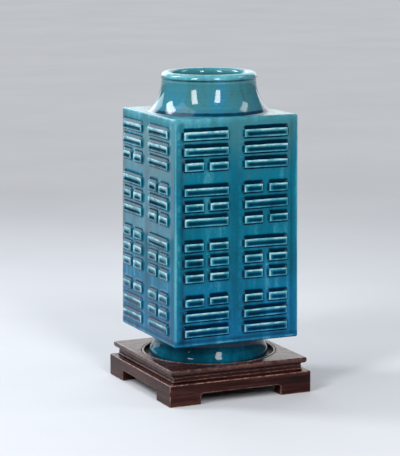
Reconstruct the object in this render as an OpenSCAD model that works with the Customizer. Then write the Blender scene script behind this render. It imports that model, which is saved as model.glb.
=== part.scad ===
// Square cong vase: a four-sided body with a round neck and a round foot, trigrams in relief on
// every side, standing loose in the round recess of its joined wood stand.
// The vase is built from clay slabs that are mitred and luted together, with a thrown neck and a
// thrown foot ring. Millimetres, +Z up. The origin lies under the middle of the stand, on the table.

/* [Vase body] */
// Width of the square body across its flat sides
body_w = 128; // [118:1:150]
// Height of the square body, with its shoulder and base slabs
body_h = 216; // [190:1:250]
// Thickness of the clay slabs
slab_t = 7; // [5:0.5:9]
// Radius of the body's softened edges
edge_r = 2; // [1.5:0.5:4]

/* [Trigrams] */
// How far the bars stand out of the wall
bar_relief = 2.4; // [1:0.2:4]
// Width of the sloping sides of a bar, measured along the wall
bar_slope = 1.2; // [0.8:0.1:2]
// Space between two bars of one trigram
bar_space = 4.7; // [3:0.1:6]
// Space between one trigram and the next in its column
trigram_space = 13.1; // [10:0.1:16]
// Gap in the middle of a broken bar
broken_gap = 4.2; // [2.5:0.1:7]
// Space between the two columns of trigrams
column_gap = 14.4; // [10:0.1:19]
// Plain border at the sides of a wall, before the bars are shifted
side_margin = 9; // [7:0.1:12]
// Plain border at the top and the bottom of a wall, before the bars are shifted
row_margin = 9.6; // [8:0.1:13]
// How far to the left of the middle the bars are set on the front
front_shift = 1.4; // [0:0.1:4]
// How far to the left of the middle they are set on each of the other sides
side_shift = 4; // [0:0.1:4.5]
// How far below the middle they are set on every side
bars_drop = 1; // [0:0.1:3]

/* [Neck] */
// Height of the neck from the shoulder to the top of the lip
neck_h = 38; // [32:0.5:48]
// Outside diameter of the neck where it is narrowest, under the lip
neck_d = 91; // [78:0.5:98]
// Thickness of the neck's wall
neck_t = 7; // [5:0.5:9]
// Radius of the rolled lip
lip_r = 5; // [4.5:0.1:6]
// How far the lip stands out past the neck
lip_proud = 0.9; // [0.4:0.1:1.8]
// Flat ledge between the foot of the neck's flare and the body's side
shoulder_ledge = 5; // [4.5:0.5:8]
// Radius of the clay worked into the corner between neck and shoulder
neck_fillet_r = 3; // [2:0.5:4]

/* [Foot ring] */
// Height of the foot ring
foot_h = 25; // [23:0.5:32]
// How far the foot's roll stays inside the body's side
foot_inset = 5.8; // [4:0.1:9]
// Radius of the rolled bottom of the foot
foot_roll_r = 6.5; // [5:0.1:7.5]
// Radius of the cove above the roll
foot_cove_r = 4; // [3:0.1:5]
// How far the foot draws in from its roll to its waist
foot_draw = 4.8; // [3.5:0.1:6]
// Thickness of the foot's wall at its waist
foot_t = 8; // [6.5:0.5:10]

/* [Stand top] */
// Thickness of the top board
board_t = 8; // [7:0.5:12]
// Height of the moulded edge of the top board, above its cove
nose_h = 5.5; // [4.5:0.1:6]
// Radius of the upper corner of that edge
nose_top_r = 1.2; // [0.6:0.1:1.6]
// Radius of its lower corner
nose_low_r = 2.6; // [1.8:0.1:2.9]
// Depth of the round recess that takes the foot
recess_depth = 5; // [3:0.1:5.5]
// Room left round the foot in the recess
foot_clearance = 5.3; // [1:0.1:7]
// Width of the bead turned round the recess
bead_w = 2.2; // [1.4:0.1:3]
// How far the bead stands above the board
bead_proud = 0.5; // [0.2:0.1:0.8]
// Width of the groove outside the bead
groove_w = 1; // [0.6:0.1:1.6]
// Width of plain wood left outside the groove at the middle of a side
rim_w = 5; // [4:0.1:10]

/* [Stand base] */
// How far the waist is set back from the edge of the top board
waist_inset = 4.2; // [3:0.1:5]
// Height of the waist
waist_h = 5; // [3:0.1:8]
// Thickness of the small bead along the bottom of the waist
waist_bead = 1.6; // [1:0.1:2.4]
// How far the aprons stand out past the top board
apron_proud = 2.8; // [1:0.1:4]
// Thickness of the aprons
apron_t = 14; // [11:0.5:18]
// Height of the aprons between the feet
apron_h = 10.5; // [8:0.5:14]
// Height of the feet below the aprons
leg_h = 10.5; // [7:0.5:14]
// Length of a foot along the side of the stand
leg_l = 32.5; // [26:0.5:40]
// Radius of the inner corners of the apron's cut-out
cut_r = 2.5; // [1:0.5:5]
// Leg of the triangular blocks glued into the corners
block_leg = 18; // [12:0.5:24]
// Height that the corner blocks stay clear of the table
block_lift = 2; // [1:0.5:5]

/* [Hidden] */
$fn = 96;

glaze = "#2e7f90";
glaze_edge = "#5fa9ae";
rosewood = "#4f2f2a";
rosewood_light = "#5d3a31";

// Turn that carries the front of the object to each of its sides
SIDE_TURN = [0, 90, 180, -90];
FRONT = 0;
RIGHT = 1;
BACK = 2;
LEFT = 3;

// Trigrams from the top of a column to its bottom, each from its top bar to its bottom bar:
// true is an unbroken bar. A side holds a left and a right column.
WIND = [true, true, false];
FIRE = [true, false, true];
EARTH = [false, false, false];
LAKE = [false, true, true];
HEAVEN = [true, true, true];
WATER = [false, true, false];
MOUNTAIN = [true, false, false];
THUNDER = [false, false, true];
EIGHT_TRIGRAMS = [[WIND, FIRE, EARTH, LAKE], [HEAVEN, WATER, MOUNTAIN, THUNDER]];
// The front repeats the lake trigram at the foot of its right column.
FRONT_TRIGRAMS = [[WIND, FIRE, EARTH, LAKE], [HEAVEN, WATER, MOUNTAIN, LAKE]];
SIDE_TRIGRAMS = [FRONT_TRIGRAMS, EIGHT_TRIGRAMS, EIGHT_TRIGRAMS, EIGHT_TRIGRAMS];
SIDE_SHIFT = [front_shift, side_shift, side_shift, side_shift];
trigrams_in_column = 4;
bars_in_trigram = 3;

// Heights of the stand, from the table up
apron_top = leg_h + apron_h;
waist_top = apron_top + waist_h;
stand_h = waist_top + board_t;
recess_floor = stand_h - recess_depth;

// Heights of the vase: its foot stands on the floor of the recess
body_z = recess_floor + foot_h;
wall_z = body_z + slab_t;
wall_h = body_h - 2 * slab_t;
shoulder_z = body_z + body_h;

// Plan sizes, from the middle outwards
half_w = body_w / 2;
foot_r = half_w - foot_inset;
recess_r = foot_r + foot_clearance;
groove_r = recess_r + bead_w;
board_half = groove_r + groove_w + rim_w;
waist_half = board_half - waist_inset;
stand_half = board_half + apron_proud;
inner_half = stand_half - apron_t;

// Neck: its outside is one arc, upright under the lip and spreading to a fillet on the shoulder
neck_r = neck_d / 2;
lip_centre = [neck_r + lip_proud - lip_r, neck_h - lip_r];
flare_top = neck_h - lip_r - lip_proud;
flare_out = half_w - shoulder_ledge - neck_r;
flare_r = (flare_top * flare_top + flare_out * flare_out) / (2 * flare_out);
flare_centre = [neck_r + flare_r, flare_top];
fillet_reach = sqrt(pow(flare_r - neck_fillet_r, 2) - pow(flare_top - neck_fillet_r, 2));
fillet_centre = [flare_centre.x - fillet_reach, neck_fillet_r];
fillet_end = 180 + atan2(flare_top - neck_fillet_r, fillet_reach);
// The fillet stops half-way down to the shoulder, so that its edge isn't drawn out to nothing.
fillet_start = (fillet_end + 270) / 2;
mouth_r = flare_centre.x - sqrt(pow(flare_r + neck_t, 2) - flare_top * flare_top);

// Foot: a cove over a roll, the two arcs tangent to each other
roll_centre = [foot_r - foot_roll_r, foot_roll_r];
foot_waist_r = foot_r - foot_draw;
cove_dx = foot_waist_r + foot_cove_r - roll_centre.x;
cove_centre = roll_centre + [cove_dx, sqrt(pow(foot_roll_r + foot_cove_r, 2) - cove_dx * cove_dx)];
cove_end = atan2(cove_centre.y - roll_centre.y, cove_dx);
foot_inner_r = foot_waist_r - foot_t;

// Trigram layout, measured at the feet of the bars
column_w = (body_w - 2 * side_margin - column_gap) / 2;
bar_rows = trigrams_in_column * bars_in_trigram;
bar_foot_h = (body_h - 2 * row_margin - (trigrams_in_column - 1) * trigram_space
    - trigrams_in_column * (bars_in_trigram - 1) * bar_space) / bar_rows;
bar_pitch = bar_foot_h + bar_space;
trigram_h = bars_in_trigram * bar_foot_h + (bars_in_trigram - 1) * bar_space;
trigram_pitch = trigram_h + trigram_space;

// Points along an arc, from angle a0 to angle a1
function arc(centre, r, a0, a1, steps) =
    [for (i = [0:steps]) let (a = a0 + (a1 - a0) * i / steps) centre + r * [cos(a), sin(a)]];

// Square with round corners, centred
module round_square(w, r) {
    inner = w - 2 * r;
    square([w, inner], center = true);
    square([inner, w], center = true);
    for (x = [-1, 1], y = [-1, 1])
        translate([x, y] * inner / 2) circle(r);
}

// Everything in front of the two mitre planes, in plan
module mitre_wedge(reach) {
    polygon([[0, 0], [-reach, -reach], [reach, -reach]]);
}

// Runs a section along X: its first coordinate lies along Y and its second along Z
module run_along_x(length) {
    rotate([90, 0, 90]) linear_extrude(length, center = true) children();
}

// Square board whose edges all have the same section, with mitred corners
module moulded_board(length) {
    intersection() {
        run_along_x(length) children();
        rotate([0, 0, 90]) run_along_x(length) children();
    }
}

// Vase: slabs

// Section of a slab whose outer edges are rounded on one side, flat on the other
module soft_slab_section() {
    translate([-half_w, 0]) square([body_w, slab_t - edge_r]);
    translate([-half_w + edge_r, 0]) square([body_w - 2 * edge_r, slab_t]);
    for (x = [-1, 1])
        translate([x * (half_w - edge_r), slab_t - edge_r]) circle(edge_r);
}

// Square slab, round at its upright corners and along its upper edges
module soft_slab() {
    intersection() {
        moulded_board(body_w + edge_r) soft_slab_section();
        linear_extrude(slab_t) round_square(body_w, edge_r);
    }
}

module shoulder_slab() {
    color(glaze)
    translate([0, 0, shoulder_z - slab_t])
    difference() {
        soft_slab();
        translate([0, 0, -1]) cylinder(r = mouth_r, h = slab_t + 2);
    }
}

module base_slab() {
    color(glaze)
    translate([0, 0, body_z + slab_t]) mirror([0, 0, 1]) soft_slab();
}

// One wall slab, mitred at its upright edges
module wall(side) {
    color(glaze)
    rotate([0, 0, SIDE_TURN[side]])
    translate([0, 0, wall_z])
    linear_extrude(wall_h)
    difference() {
        intersection() {
            round_square(body_w, edge_r);
            mitre_wedge(body_w);
        }
        square(body_w - 2 * slab_t, center = true);
    }
}

// Vase: trigram bars

// One bar with sloping sides, its foot on the plane y = 0 and its front towards -Y
module bar(foot_l) {
    intersection() {
        linear_extrude(bar_foot_h, center = true)
            polygon([[-foot_l / 2, 0], [foot_l / 2, 0],
                [foot_l / 2 - bar_slope, -bar_relief], [-foot_l / 2 + bar_slope, -bar_relief]]);
        run_along_x(foot_l)
            polygon([[0, -bar_foot_h / 2], [0, bar_foot_h / 2],
                [-bar_relief, bar_foot_h / 2 - bar_slope], [-bar_relief, -bar_foot_h / 2 + bar_slope]]);
    }
}

// One line of a trigram: one long bar or two short ones
module line(unbroken) {
    half_l = (column_w - broken_gap) / 2;
    if (unbroken) bar(column_w);
    else for (x = [-1, 1]) translate([x * (half_l + broken_gap) / 2, 0, 0]) bar(half_l);
}

module trigram(lines) {
    for (i = [0:bars_in_trigram - 1])
        translate([0, 0, ((bars_in_trigram - 1) / 2 - i) * bar_pitch]) line(lines[i]);
}

// The two columns of trigrams of one side, on the face of its wall
module trigrams(side) {
    color(glaze_edge)
    rotate([0, 0, SIDE_TURN[side]])
    translate([-SIDE_SHIFT[side], -half_w, body_z + body_h / 2 - bars_drop])
    for (column = [0, 1], row = [0:trigrams_in_column - 1])
        translate([(column - 0.5) * (column_w + column_gap), 0,
            ((trigrams_in_column - 1) / 2 - row) * trigram_pitch])
        trigram(SIDE_TRIGRAMS[side][column][row]);
}

// Vase: thrown pieces

// The lip is a roll whose underside turns in sharply to the neck. Inside, the flare starts level with
// the bottom of the roll.
module neck() {
    lip_inner_end = acos((lip_centre.x - neck_r + neck_t) / lip_r);
    bore_r = flare_r + neck_t;
    bore_start = 180 + asin((flare_top - lip_centre.y + lip_r) / bore_r);
    color(glaze)
    translate([0, 0, shoulder_z])
    rotate_extrude()
    polygon(concat(
        [[fillet_centre.x + neck_fillet_r * cos(fillet_start), 0]],
        arc(fillet_centre, neck_fillet_r, fillet_start, fillet_end, 4),
        arc(flare_centre, flare_r, fillet_end, 180, 16),
        arc([neck_r, lip_centre.y], lip_proud, -67.5, 0, 3),
        arc(lip_centre, lip_r, 0, 180 + lip_inner_end, 20),
        arc(flare_centre, bore_r, bore_start, 180 + asin(flare_top / bore_r), 16)
    ));
}

module foot_ring() {
    color(glaze)
    translate([0, 0, recess_floor])
    rotate_extrude()
    polygon(concat(
        [[foot_inner_r, 0]],
        arc(roll_centre, foot_roll_r, -90, cove_end, 20),
        arc(cove_centre, foot_cove_r, 180 + cove_end, 180, 8),
        [[foot_waist_r, foot_h], [foot_inner_r, foot_h]]
    ));
}

// Stand

// Section of the top board: an edge with round corners over a cove that runs in to the waist
module board_section() {
    cove_h = board_t - nose_h;
    cove_r = waist_inset - nose_low_r;
    right_half = concat(
        [[waist_half, 0]],
        arc([waist_half + cove_r, cove_h - cove_r], cove_r, 180, 90, 6),
        arc([board_half - nose_low_r, cove_h + nose_low_r], nose_low_r, -90, 0, 6),
        arc([board_half - nose_top_r, board_t - nose_top_r], nose_top_r, 0, 90, 6)
    );
    for (side = [0, 1])
        mirror([side, 0]) polygon(concat([[0, 0]], right_half, [[0, board_t]]));
}

// The bead round the recess is the top of a circle that is mostly sunk in the board.
module stand_top() {
    bead_r = (pow(bead_w / 2, 2) + pow(bead_proud, 2)) / (2 * bead_proud);
    bead_half_angle = asin(bead_w / 2 / bead_r);
    bead_centre = [recess_r + bead_w / 2, bead_proud - bead_r];
    color(rosewood)
    translate([0, 0, waist_top])
    difference() {
        union() {
            moulded_board(3 * board_half) board_section();
            translate([0, 0, board_t]) rotate_extrude()
                polygon(concat(
                    [[recess_r, -groove_w], [groove_r, -groove_w]],
                    arc(bead_centre, bead_r, 90 - bead_half_angle, 90 + bead_half_angle, 8)
                ));
        }
        translate([0, 0, board_t - recess_depth]) cylinder(r = recess_r, h = 2 * recess_depth);
        translate([0, 0, board_t]) rotate_extrude()
            polygon([[groove_r, 0], [groove_r + groove_w / 2, -groove_w], [groove_r + groove_w, 0]]);
    }
}

// Piece of a square frame that fills one side, mitred at both ends
module mitred_side(side, reach) {
    rotate([0, 0, SIDE_TURN[side]])
    intersection() {
        children();
        linear_extrude(4 * stand_h, center = true) mitre_wedge(reach);
    }
}

module waist(side) {
    color(rosewood_light)
    mitred_side(side, 2 * stand_half)
    translate([0, 0, apron_top])
    run_along_x(2 * stand_half) {
        translate([-waist_half, 0]) square([waist_half - inner_half, waist_h]);
        translate([-waist_half, waist_bead / 2]) circle(waist_bead / 2);
    }
}

module apron(side) {
    cut_half = stand_half - leg_l;
    color(rosewood)
    mitred_side(side, 2 * stand_half)
    translate([0, -inner_half, 0])
    rotate([90, 0, 0])
    linear_extrude(apron_t)
    difference() {
        translate([-stand_half, 0]) square([2 * stand_half, apron_top]);
        polygon(concat(
            [[cut_half, -1]],
            arc([cut_half - cut_r, leg_h - cut_r], cut_r, 0, 90, 6),
            arc([-cut_half + cut_r, leg_h - cut_r], cut_r, 90, 180, 6),
            [[-cut_half, -1]]
        ));
    }
}

// Triangular block glued into a corner of the base, under the top board
module corner_block(side) {
    color(rosewood_light)
    rotate([0, 0, SIDE_TURN[side]])
    translate([-inner_half, -inner_half, block_lift])
    linear_extrude(waist_top - block_lift)
    polygon([[0, 0], [block_leg, 0], [0, block_leg]]);
}

stand_top();
waist(FRONT);  // front_waist
waist(RIGHT);  // right_waist
waist(BACK);  // back_waist
waist(LEFT);  // left_waist
apron(FRONT);  // front_apron
apron(RIGHT);  // right_apron
apron(BACK);  // back_apron
apron(LEFT);  // left_apron
corner_block(FRONT);  // front_left_block
corner_block(RIGHT);  // front_right_block
corner_block(BACK);  // back_right_block
corner_block(LEFT);  // back_left_block
foot_ring();
base_slab();
wall(FRONT);  // front_wall
wall(RIGHT);  // right_wall
wall(BACK);  // back_wall
wall(LEFT);  // left_wall
trigrams(FRONT);  // front_trigrams
trigrams(RIGHT);  // right_trigrams
trigrams(BACK);  // back_trigrams
trigrams(LEFT);  // left_trigrams
shoulder_slab();
neck();
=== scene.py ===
import math

import bmesh
import bpy
import numpy as np
from mathutils import Matrix, Vector


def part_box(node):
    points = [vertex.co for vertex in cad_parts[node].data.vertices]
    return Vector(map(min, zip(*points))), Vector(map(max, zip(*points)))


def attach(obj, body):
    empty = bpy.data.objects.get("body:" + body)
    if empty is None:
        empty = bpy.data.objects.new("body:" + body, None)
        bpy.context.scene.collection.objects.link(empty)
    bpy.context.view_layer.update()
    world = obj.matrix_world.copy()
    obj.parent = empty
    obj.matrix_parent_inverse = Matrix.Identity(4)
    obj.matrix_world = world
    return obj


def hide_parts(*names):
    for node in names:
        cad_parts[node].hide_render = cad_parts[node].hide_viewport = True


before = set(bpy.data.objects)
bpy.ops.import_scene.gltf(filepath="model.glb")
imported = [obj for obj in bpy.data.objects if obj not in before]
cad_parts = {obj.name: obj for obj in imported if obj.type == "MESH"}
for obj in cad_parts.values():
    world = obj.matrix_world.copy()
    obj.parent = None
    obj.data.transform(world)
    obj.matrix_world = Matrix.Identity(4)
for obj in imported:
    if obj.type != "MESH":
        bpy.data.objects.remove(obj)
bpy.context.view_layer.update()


# Aprons of the stand. Four thick boards of dark red hardwood, sawn away below so that they stand on
# bracket feet, mitred and glued at the corners. Their edges are rubbed round and paler from handling.

MM = 0.001
SIDE_TURN = {"front": 0, "right": 90, "back": 180, "left": -90}
apron_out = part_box("front_apron")[1].x
apron_in = -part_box("front_apron")[1].y
apron_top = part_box("front_apron")[1].z
leg_height = 10.5 * MM
leg_length = 32.5 * MM
cut_corner_radius = 2.5 * MM
cut_corner_steps = 6
board_edge_round = 0.8 * MM
board_edge_angle = 30
apron_shine = 0.13
ROSEWOOD_DARK = (20, 8, 8)
ROSEWOOD_RED = (48, 18, 15)
ROSEWOOD_BROWN = (80, 46, 40)
ROSEWOOD_PORE_AND_SHADE = (7, 3, 3)
ROSEWOOD_WORN = (160, 126, 116)
# How many times the figure of the wood repeats in a metre, along the grain and across it.
BAND_REPEATS = (7, 150)
STREAK_REPEATS = (24, 620)
PORE_REPEATS = (110, 2400)
rubbed_repeats = 260
band_share = 0.62
pore_depth = 0.1 * MM
pore_darkness = 0.75
# How strongly worn edges show, where they are rubbed least and most, and the roughness of the polish.
RUBBED = (0.08, 0.85)
POLISH = (0.18, 0.3)
pore_roughness = 0.25


def linear(srgb):
    """A colour given as 0 to 255 sRGB, as the linear RGBA that a socket takes."""
    share = np.array(srgb, float) / 255
    light = np.where(share <= 0.04045, share / 12.92, ((share + 0.055) / 1.055) ** 2.4)
    return (*light.tolist(), 1.0)


def put(tree, kind, inputs=None, **settings):
    """Adds a node, sets it up, and fills its inputs with values or links."""
    made = tree.nodes.new(kind)
    for name, value in settings.items():
        setattr(made, name, value)
    for key, value in (inputs or {}).items():
        if isinstance(value, bpy.types.NodeSocket):
            tree.links.new(value, made.inputs[key])
        else:
            made.inputs[key].default_value = value
    return made


def calc(tree, operation, *values):
    """The output of one Math node."""
    return put(tree, "ShaderNodeMath", dict(enumerate(values)), operation=operation).outputs[0]


def smooth_step(tree, value, low, high, from_value=0.0, to_value=1.0):
    """Runs smoothly from one value to another while the input goes from low to high."""
    inputs = {"Value": value, "From Min": low, "From Max": high, "To Min": from_value, "To Max": to_value}
    return put(tree, "ShaderNodeMapRange", inputs, interpolation_type="SMOOTHSTEP").outputs[0]


def colour_ramp(tree, factor, stops):
    """A colour that runs through the given (place, sRGB colour) stops."""
    made = put(tree, "ShaderNodeValToRGB", {"Fac": factor})
    elements = made.color_ramp.elements
    while len(elements) < len(stops):
        elements.new(1.0)
    for element, (place, colour) in zip(elements, stops):
        element.position = place
        element.color = linear(colour)
    return made.outputs["Color"]


def mix_colour(tree, factor, first, second, blend="MIX"):
    """One colour blended over another."""
    made = put(tree, "ShaderNodeMix", data_type="RGBA", blend_type=blend)
    for key, value in ((0, factor), (6, first), (7, second)):
        if isinstance(value, bpy.types.NodeSocket):
            tree.links.new(value, made.inputs[key])
        else:
            made.inputs[key].default_value = value
    return made.outputs[2]


def noise(tree, place, scale, detail=3.0, roughness=0.55):
    """The grey value of a noise texture."""
    inputs = {"Vector": place, "Scale": scale, "Detail": detail, "Roughness": roughness}
    return put(tree, "ShaderNodeTexNoise", inputs).outputs[0]


def rosewood(name, grain_turn, shift, shine):
    """Polished rosewood whose grain runs along X, turned about Z: dark streaks, pores, rubbed edges.
    The shift gives each board its own figure. Below zero, the attribute that marks rubbed edges paints
    shade."""
    material = bpy.data.materials.new(name)
    material.use_nodes = True
    tree = material.node_tree
    shader = tree.nodes["Principled BSDF"]
    place = put(tree, "ShaderNodeTexCoord").outputs["Object"]
    turn = (0, 0, math.radians(grain_turn))
    laid = {"Vector": place, "Rotation": turn, "Location": shift}
    turned = put(tree, "ShaderNodeMapping", laid).outputs[0]

    def stretched(along, across):
        scale = (along, across, across)
        return put(tree, "ShaderNodeMapping", {"Vector": turned, "Scale": scale}).outputs[0]

    bands = noise(tree, stretched(*BAND_REPEATS), 1.0, 4.0, 0.65)
    streaks = noise(tree, stretched(*STREAK_REPEATS), 1.0, 3.0, 0.65)
    pores = noise(tree, stretched(*PORE_REPEATS), 1.0, 1.0, 0.5)
    figure = calc(tree, "ADD", calc(tree, "MULTIPLY", bands, band_share),
                  calc(tree, "MULTIPLY", streaks, 1 - band_share))
    wood = colour_ramp(tree, figure, [(0.34, ROSEWOOD_DARK), (0.48, ROSEWOOD_RED),
                                      (0.66, ROSEWOOD_BROWN)])
    wear_and_shade = put(tree, "ShaderNodeAttribute", attribute_name="wear_and_shade").outputs["Fac"]
    # Below zero the attribute holds painted shade, which darkens the wood like its pores.
    recess_shade = calc(tree, "MULTIPLY", wear_and_shade, -1.0)
    pore_and_shade = calc(tree, "MAXIMUM", smooth_step(tree, pores, 0.6, 0.7, 0.0, pore_darkness), recess_shade)
    wood = mix_colour(tree, pore_and_shade, wood, linear(ROSEWOOD_PORE_AND_SHADE))
    rubbed = noise(tree, place, rubbed_repeats, 3.0, 0.65)
    tone_mark = calc(tree, "MULTIPLY", calc(tree, "MAXIMUM", wear_and_shade, 0.0),
                smooth_step(tree, rubbed, 0.34, 0.66, *RUBBED))
    wood = mix_colour(tree, tone_mark, wood, linear(ROSEWOOD_WORN))
    tree.links.new(wood, shader.inputs["Base Color"])
    polish = calc(tree, "ADD", smooth_step(tree, streaks, 0.3, 0.7, *POLISH),
                  calc(tree, "MULTIPLY", pore_and_shade, pore_roughness))
    tree.links.new(polish, shader.inputs["Roughness"])
    grain_height = calc(tree, "SUBTRACT", calc(tree, "MULTIPLY", streaks, 0.3), pore_and_shade)
    bump = put(tree, "ShaderNodeBump", {"Height": grain_height, "Strength": 0.35, "Distance": pore_depth})
    tree.links.new(bump.outputs[0], shader.inputs["Normal"])
    shader.inputs["IOR"].default_value = 1.5
    shader.inputs["Specular IOR Level"].default_value = shine
    return material


def arc(centre, radius, start, end, steps):
    """Points of an arc in a plane, with angles in degrees."""
    angles = np.radians(np.linspace(start, end, steps + 1))
    return [(centre[0] + radius * math.cos(a), centre[1] + radius * math.sin(a)) for a in angles]


def board_between(first, second):
    """A board, as the solid between two outlines that have the same number of points."""
    bm = bmesh.new()
    near_end, far_end = [[bm.verts.new(point) for point in outline] for outline in (first, second)]
    bm.faces.new(near_end)
    bm.faces.new(far_end[::-1])
    for i in range(len(near_end)):
        j = (i + 1) % len(near_end)
        bm.faces.new((near_end[i], far_end[i], far_end[j], near_end[j]))
    return bm


def finish_board(name, bm, material, side, replaced):
    """Rounds the sharp edges of a joiner's board, marks them as rubbed, turns it to its side and fits it."""
    wear_and_shade = bm.faces.layers.float.new("wear_and_shade")
    bmesh.ops.recalc_face_normals(bm, faces=bm.faces)
    sharp = [e for e in bm.edges if e.calc_face_angle(0) > math.radians(board_edge_angle)]
    rounded = bmesh.ops.bevel(bm, geom=sharp, offset=board_edge_round, segments=3, profile=0.5,
                              affect="EDGES", clamp_overlap=True)
    for face in rounded["faces"]:
        face[wear_and_shade] = 1.0
    bmesh.ops.rotate(bm, matrix=Matrix.Rotation(math.radians(SIDE_TURN[side]), 3, "Z"), verts=bm.verts)
    mesh = bpy.data.meshes.new(name)
    bm.to_mesh(mesh)
    bm.free()
    mesh.materials.append(material)
    mesh.shade_smooth()
    board = bpy.data.objects.new(name, mesh)
    bpy.context.scene.collection.objects.link(board)
    board.modifiers.new("flat_faces", "WEIGHTED_NORMAL").weight = 100
    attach(board, "stand")
    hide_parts(replaced)
    return board


def apron_outline(half):
    """Front view of an apron, counter-clockwise: two feet with a cut-out between them."""
    cut = apron_out - leg_length
    inset = cut - cut_corner_radius
    spring = leg_height - cut_corner_radius
    left = arc((-inset, spring), cut_corner_radius, 180, 90, cut_corner_steps)
    right = arc((inset, spring), cut_corner_radius, 90, 0, cut_corner_steps)
    feet = [(-half, 0), (-cut, 0), *left, *right, (cut, 0), (half, 0)]
    return [*feet, (half, apron_top), (-half, apron_top)]


for side in SIDE_TURN:
    outer = [(x, -apron_out, z) for x, z in apron_outline(apron_out)]
    inner = [(x, -apron_in, z) for x, z in apron_outline(apron_in)]
    own_figure = (0.31 * SIDE_TURN[side], 0.7, 0.4)
    wood = rosewood(f"rosewood_{side}_apron", -SIDE_TURN[side], own_figure, apron_shine)
    finish_board(f"{side}_apron_board", board_between(outer, inner), wood, side, f"{side}_apron")


# Waist of the stand. Four thin strips of the same wood, mitred and glued on the aprons and set back
# under the top board, with a small bead run along the bottom of each.

waist_bead_radius = 0.8 * MM
waist_bead_steps = 8
waist_face = -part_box("front_waist")[0].y - waist_bead_radius
waist_back = -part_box("front_waist")[1].y
waist_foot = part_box("front_waist")[0].z
waist_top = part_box("front_waist")[1].z

waist_section = [
    (waist_back, waist_foot),
    *arc((waist_face, waist_foot + waist_bead_radius), waist_bead_radius, -90, 90, waist_bead_steps),
    (waist_face, waist_top),
    (waist_back, waist_top),
]
for side in SIDE_TURN:
    left = [(-out, -out, z) for out, z in waist_section]
    right = [(out, -out, z) for out, z in waist_section]
    own_figure = (0.17 * SIDE_TURN[side], 0.2, 0.9)
    wood = rosewood(f"rosewood_{side}_waist", -SIDE_TURN[side], own_figure, apron_shine)
    finish_board(f"{side}_waist_strip", board_between(left, right), wood, side, f"{side}_waist")


# Corner blocks of the stand. Triangles of plain sawn wood, glued into the inner corners under the top
# board, where they tie the aprons, the waist and the board together. They show only from below.

for corner, turn in (("front_left", 0), ("front_right", 90), ("back_right", 180), ("back_left", 270)):
    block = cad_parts[f"{corner}_block"]
    own_figure = (0.1 * turn, 0.5, 0.1)
    wood = rosewood(f"rosewood_{corner}_block", 45 + turn, own_figure, apron_shine)
    block.data.materials.clear()
    block.data.materials.append(wood)


# Top board of the stand. One square board with a rounded edge over a cove, and a round recess turned
# in its middle for the vase's foot, with a raised bead and a fine groove round the recess.

board_low, board_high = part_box("stand_top")
board_half = board_high.x
board_foot = board_low.z
board_bead_top = board_high.z
board_bead_proud = 0.5 * MM
board_top = board_bead_top - board_bead_proud
recess_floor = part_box("foot_ring")[0].z
recess_radius = 63.5 * MM
recess_corner = 0.5 * MM
board_bead_width = 2.2 * MM
bead_shoulder_out = 0.75 * MM
bead_shoulder_rise = 0.32 * MM
board_groove_width = 1.0 * MM
groove_lip = 0.5 * MM
recess_lip = 0.2 * MM
# Painted shade in the recess: how far below the board's top it starts, and how far in across the floor it
# eases.
recess_shade_top = 0.9 * MM
recess_shade_share = 0.6
rubbed_width = 0.3 * MM
rubbed_fade = 1.0 * MM
nose_top_radius = 1.2 * MM
nose_low_radius = 2.6 * MM
nose_height = 5.5 * MM
board_corner_radius = 1.0 * MM
board_side_points = 40
board_corner_points = 4
board_sharp_angle = 38
board_shine = 0.24
merge_distance = 0.004 * MM


def rounded_square(half, corner_radius, side_columns, corner_steps):
    """Points round a square with round corners, counter-clockwise from the front's left end.
    Each side has its own columns, as shares of its flat from -1 at its left end to 1."""
    flat = half - corner_radius
    corner = arc((flat, -flat), corner_radius, -90, 0, corner_steps)[1:-1]
    turned = []
    for quarter_turns, columns in enumerate(side_columns):
        quarter = np.array([(column * flat, -half) for column in columns] + corner)
        for _ in range(quarter_turns):
            quarter = np.stack([-quarter[:, 1], quarter[:, 0]], axis=1)
        turned.append(quarter)
    return np.concatenate(turned)


def circle_facing(square, radius):
    """Points on a circle, each in the direction of a point on the square."""
    return square / np.linalg.norm(square, axis=1, keepdims=True) * radius


def skin(rings, values, value_name, closed=False):
    """A mesh laid over rings of points, with a value kept for each point. Points that meet are merged."""
    bm = bmesh.new()
    layer = bm.verts.layers.float.new(value_name)
    grid = []
    for ring, ring_values in zip(rings, values):
        row = []
        for point, value in zip(ring, np.broadcast_to(ring_values, len(ring))):
            vert = bm.verts.new(point)
            vert[layer] = value
            row.append(vert)
        grid.append(row)
    pairs = list(zip(grid, grid[1:])) + ([(grid[-1], grid[0])] if closed else [])
    for lower, upper in pairs:
        for i in range(len(lower)):
            j = (i + 1) % len(lower)
            bm.faces.new((lower[i], lower[j], upper[j], upper[i]))
    bmesh.ops.remove_doubles(bm, verts=bm.verts, dist=merge_distance)
    mesh = bpy.data.meshes.new("skin")
    bm.to_mesh(mesh)
    bm.free()
    mesh.shade_smooth()
    return mesh


def level(ring, z):
    """A flat ring of points lifted to a height."""
    return np.column_stack([ring, np.full(len(ring), z)])


def piece(name, mesh, material, body, slot, *nodes):
    """Makes a finished mesh an object that rides on its body in place of its nodes."""
    mesh.name = name
    mesh.materials.clear()
    mesh.materials.append(material)
    made = bpy.data.objects.new(name, mesh)
    bpy.context.scene.collection.objects.link(made)
    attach(made, body)
    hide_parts(*nodes)
    return made


board_columns = [np.tan(np.radians(np.linspace(-45, 45, board_side_points)))] * 4
nose_foot = board_top - nose_height
cove_radius = board_half - waist_face - nose_low_radius
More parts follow.
